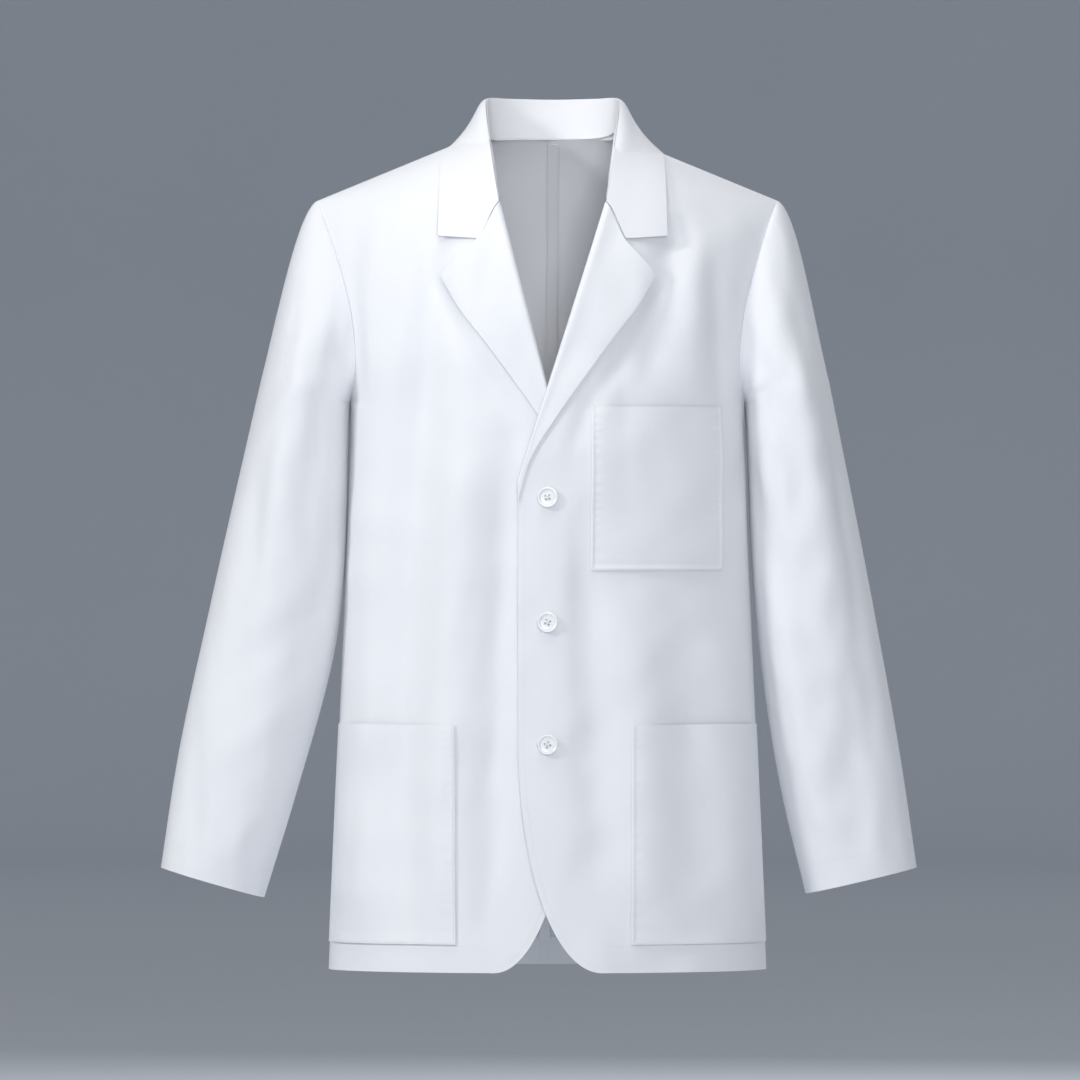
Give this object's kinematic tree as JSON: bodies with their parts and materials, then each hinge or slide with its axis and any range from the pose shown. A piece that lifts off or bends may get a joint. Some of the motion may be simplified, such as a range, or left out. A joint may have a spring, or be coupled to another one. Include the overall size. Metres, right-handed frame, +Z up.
{
  "type": "lab coat",
  "caption": "White notched-lapel lab coat with set-in sleeves, a buttoned front, a chest pocket and lower patch pockets; the fronts open and the sleeves lift.",
  "frame": {"origin": "midway between the points where the shoulder seams meet the neck, where a hanger's neck comes out", "axes": "+Z up, -Y out of the front, +X towards the wearer's left"},
  "size_m": [0.6998, 0.2479, 0.809],
  "materials": {
    "cloth": "white poly-cotton twill, pressed",
    "button": "white four-hole moulded plastic",
    "thread": "white sewing thread"
  },
  "bodies": {
    "torso": {"back_left": "cloth", "back_right": "cloth", "centre_back_seam": "cloth", "back_hem": "cloth", "left_side_seam": "cloth", "right_side_seam": "cloth", "left_shoulder_seam": "cloth", "right_shoulder_seam": "cloth", "left_front_shoulder": "cloth", "right_front_shoulder": "cloth", "left_lapel": "cloth", "right_lapel": "cloth", "left_collar_wing": "cloth", "right_collar_wing": "cloth", "collar_stand": "cloth", "collar_fall": "cloth", "left_sleeve_head": "cloth", "right_sleeve_head": "cloth", "left_sleeve_crook": "cloth", "right_sleeve_crook": "cloth"},
    "left_front": {"left_front": "cloth", "left_front_facing": "cloth", "left_front_hem": "cloth", "chest_pocket": "cloth", "left_lower_pocket": "cloth", "left_pocket_tacks": "thread", "top_buttonhole": "thread", "middle_buttonhole": "thread", "bottom_buttonhole": "thread"},
    "right_front": {"right_front": "cloth", "right_front_facing": "cloth", "right_front_hem": "cloth", "right_lower_pocket": "cloth", "right_pocket_tacks": "thread"},
    "left_sleeve": {"left_sleeve": "cloth", "left_sleeve_hem": "cloth"},
    "right_sleeve": {"right_sleeve": "cloth", "right_sleeve_hem": "cloth"},
    "top_button": {"top_button": "button", "top_button_thread": "thread"},
    "middle_button": {"middle_button": "button", "middle_button_thread": "thread"},
    "bottom_button": {"bottom_button": "button", "bottom_button_thread": "thread"}
  },
  "joints": [
    {"name": "left_front_swing", "type": "hinge", "parent": "torso", "child": "left_front", "pos_m": [0.204, 0, -0.779], "axis": [-0.0388, 0, 0.9992], "range_deg": [0, 20], "deforming": ["top_buttonhole", "middle_buttonhole", "bottom_buttonhole"]},
    {"name": "right_front_swing", "type": "hinge", "parent": "torso", "child": "right_front", "pos_m": [-0.204, 0, -0.779], "axis": [0.0388, 0, 0.9992], "range_deg": [-15, 0]},
    {"name": "left_sleeve_lift", "type": "hinge", "parent": "torso", "child": "left_sleeve", "pos_m": [0.1846, 0, -0.251], "axis": [0, -1, 0], "range_deg": [0, 45], "deforming": ["left_sleeve_crook"]},
    {"name": "right_sleeve_lift", "type": "hinge", "parent": "torso", "child": "right_sleeve", "pos_m": [-0.1846, 0, -0.251], "axis": [0, 1, 0], "range_deg": [0, 45], "deforming": ["right_sleeve_crook"]},
    {"name": "top_button_tilt", "type": "hinge", "parent": "right_front", "child": "top_button", "pos_m": [0, -0.10893, -0.3395], "axis": [1, 0, 0], "range_deg": [-8, 8], "stiffness_Nm_per_rad": 0.0005},
    {"name": "middle_button_tilt", "type": "hinge", "parent": "right_front", "child": "middle_button", "pos_m": [0, -0.1095, -0.455], "axis": [1, 0, 0], "range_deg": [-8, 8], "stiffness_Nm_per_rad": 0.0005},
    {"name": "bottom_button_tilt", "type": "hinge", "parent": "right_front", "child": "bottom_button", "pos_m": [0, -0.1132, -0.568], "axis": [1, 0, 0], "range_deg": [-8, 8], "stiffness_Nm_per_rad": 0.0005}
  ],
  "couplings": [
    {"joint": "right_front_swing", "follows": "left_front_swing", "ratio": -0.75}
  ]
}
